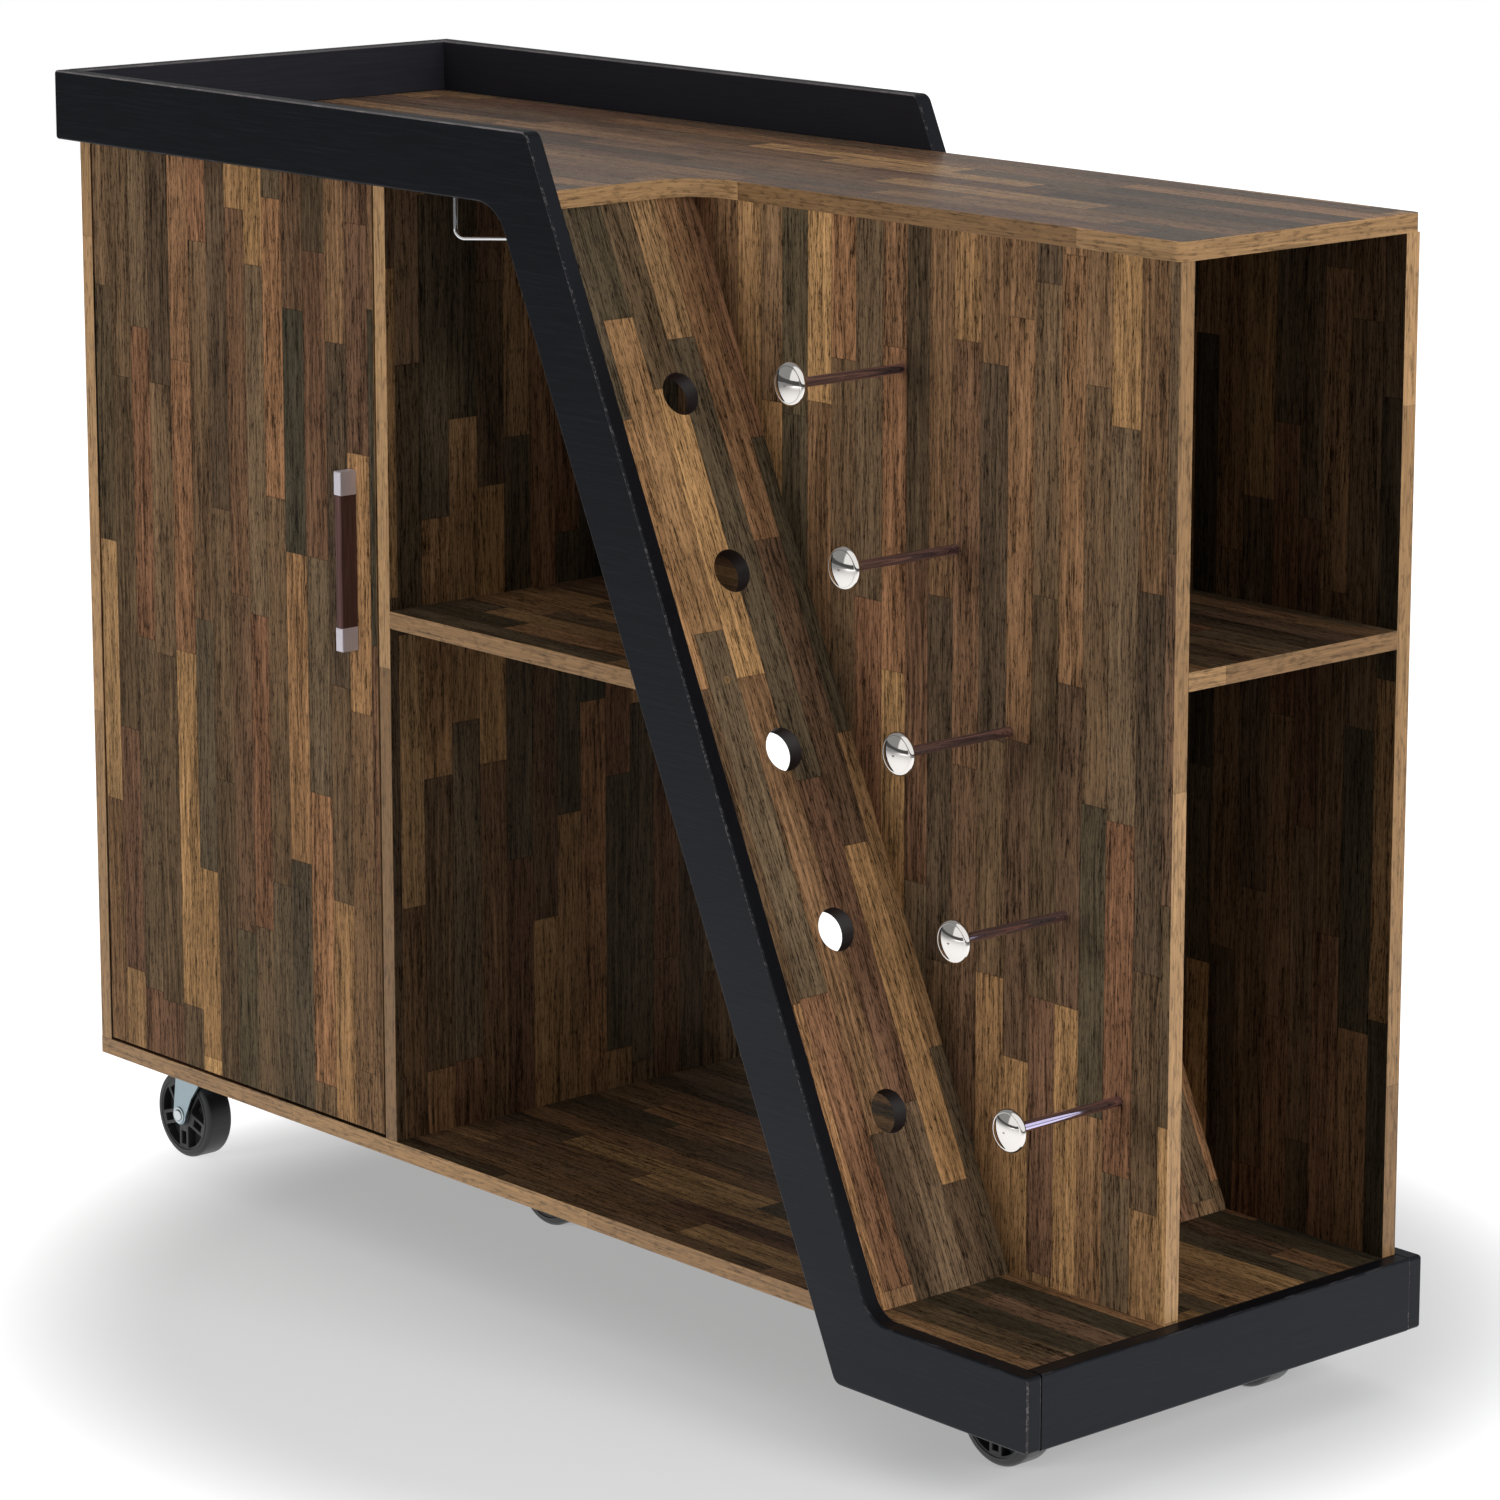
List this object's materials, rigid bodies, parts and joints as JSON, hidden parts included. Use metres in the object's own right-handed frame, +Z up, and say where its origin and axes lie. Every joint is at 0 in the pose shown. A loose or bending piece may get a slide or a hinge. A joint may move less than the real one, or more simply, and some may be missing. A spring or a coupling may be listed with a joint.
{
  "type": "mobile buffet cabinet",
  "caption": "Mobile buffet cabinet on swivel casters: hinged-door locker, open shelves, slanted bottle rack with pegs, stemware rails and a railed top.",
  "frame": {"origin": "on the floor under the middle of the cabinet's overall box", "axes": "+X to the right along the front, +Y from the front to the back, +Z up"},
  "size_m": [1.22, 0.437, 0.985],
  "materials": {
    "walnut": "satin stave walnut laminate",
    "black_frame": "black embossed-grain laminate",
    "wenge": "dark oiled wood",
    "silver": "satin silver",
    "chrome": "polished",
    "zinc": "bright zinc plate",
    "black_plastic": "moulded",
    "dowel_wood": "plain beech"
  },
  "bodies": {
    "cabinet": {"bottom_board": "walnut", "left_side_panel": "walnut", "divider_panel": "walnut", "locker_back_panel": "walnut", "locker_shelf": "walnut", "middle_shelf": "walnut", "slanted_board": "walnut", "peg_panel": "walnut", "end_back_panel": "walnut", "end_shelf": "walnut", "top_board": "walnut", "front_frame": "black_frame", "rear_frame": "black_frame", "gallery_end_rail": "black_frame", "base_end_rail": "black_frame", "bottle_peg_1": "chrome", "bottle_peg_2": "chrome", "bottle_peg_3": "chrome", "bottle_peg_4": "chrome", "bottle_peg_5": "chrome", "left_stem_rail": "chrome", "right_stem_rail": "chrome", "caster_plates": "zinc", "caster_screws": "zinc", "upper_hinge_arm": "zinc", "lower_hinge_arm": "zinc", "upper_hinge_plate": "zinc", "lower_hinge_plate": "zinc", "hinge_plate_screws": "zinc", "catch_screws": "zinc", "locker_shelf_pins": "zinc", "shelf_screws": "zinc", "magnetic_catch": "black_plastic", "frame_dowels": "dowel_wood", "panel_dowels": "dowel_wood"},
    "door": {"door_panel": "walnut", "handle_bar": "wenge", "upper_handle_cap": "silver", "lower_handle_cap": "silver", "handle_screws": "zinc", "upper_hinge_cup": "zinc", "lower_hinge_cup": "zinc", "hinge_pins": "zinc", "hinge_cup_screws": "zinc", "catch_strike": "zinc"},
    "front_left_fork": {"front_left_caster_fork": "zinc", "front_left_caster_axle": "zinc"},
    "front_left_wheel": {"front_left_caster_wheel": "black_plastic"},
    "front_right_fork": {"front_right_caster_fork": "zinc", "front_right_caster_axle": "zinc"},
    "front_right_wheel": {"front_right_caster_wheel": "black_plastic"},
    "rear_left_fork": {"rear_left_caster_fork": "zinc", "rear_left_caster_axle": "zinc"},
    "rear_left_wheel": {"rear_left_caster_wheel": "black_plastic"},
    "rear_right_fork": {"rear_right_caster_fork": "zinc", "rear_right_caster_axle": "zinc"},
    "rear_right_wheel": {"rear_right_caster_wheel": "black_plastic"},
    "middle_fork": {"middle_caster_fork": "zinc", "middle_caster_axle": "zinc"},
    "middle_wheel": {"middle_caster_wheel": "black_plastic"}
  },
  "joints": [
    {"name": "door_hinge", "type": "hinge", "parent": "cabinet", "child": "door", "pos_m": [-0.5595, -0.194, 0.5195], "axis": [0, 0, -1], "range_deg": [0, 95]},
    {"name": "front_left_swivel", "type": "hinge", "parent": "cabinet", "child": "front_left_fork", "pos_m": [-0.527, -0.1345, 0.085], "axis": [0, 0, 1], "continuous": true},
    {"name": "front_left_roll", "type": "hinge", "parent": "front_left_fork", "child": "front_left_wheel", "pos_m": [-0.549, -0.1345, 0.04], "axis": [0, 1, 0], "continuous": true},
    {"name": "front_right_swivel", "type": "hinge", "parent": "cabinet", "child": "front_right_fork", "pos_m": [0.527, -0.1345, 0.085], "axis": [0, 0, 1], "continuous": true},
    {"name": "front_right_roll", "type": "hinge", "parent": "front_right_fork", "child": "front_right_wheel", "pos_m": [0.505, -0.1345, 0.04], "axis": [0, 1, 0], "continuous": true},
    {"name": "rear_left_swivel", "type": "hinge", "parent": "cabinet", "child": "rear_left_fork", "pos_m": [-0.527, 0.1345, 0.085], "axis": [0, 0, 1], "continuous": true},
    {"name": "rear_left_roll", "type": "hinge", "parent": "rear_left_fork", "child": "rear_left_wheel", "pos_m": [-0.549, 0.1345, 0.04], "axis": [0, 1, 0], "continuous": true},
    {"name": "rear_right_swivel", "type": "hinge", "parent": "cabinet", "child": "rear_right_fork", "pos_m": [0.527, 0.1345, 0.085], "axis": [0, 0, 1], "continuous": true},
    {"name": "rear_right_roll", "type": "hinge", "parent": "rear_right_fork", "child": "rear_right_wheel", "pos_m": [0.505, 0.1345, 0.04], "axis": [0, 1, 0], "continuous": true},
    {"name": "middle_swivel", "type": "hinge", "parent": "cabinet", "child": "middle_fork", "pos_m": [-0.155, -0.015, 0.085], "axis": [0, 0, 1], "continuous": true},
    {"name": "middle_roll", "type": "hinge", "parent": "middle_fork", "child": "middle_wheel", "pos_m": [-0.177, -0.015, 0.04], "axis": [0, 1, 0], "continuous": true}
  ]
}
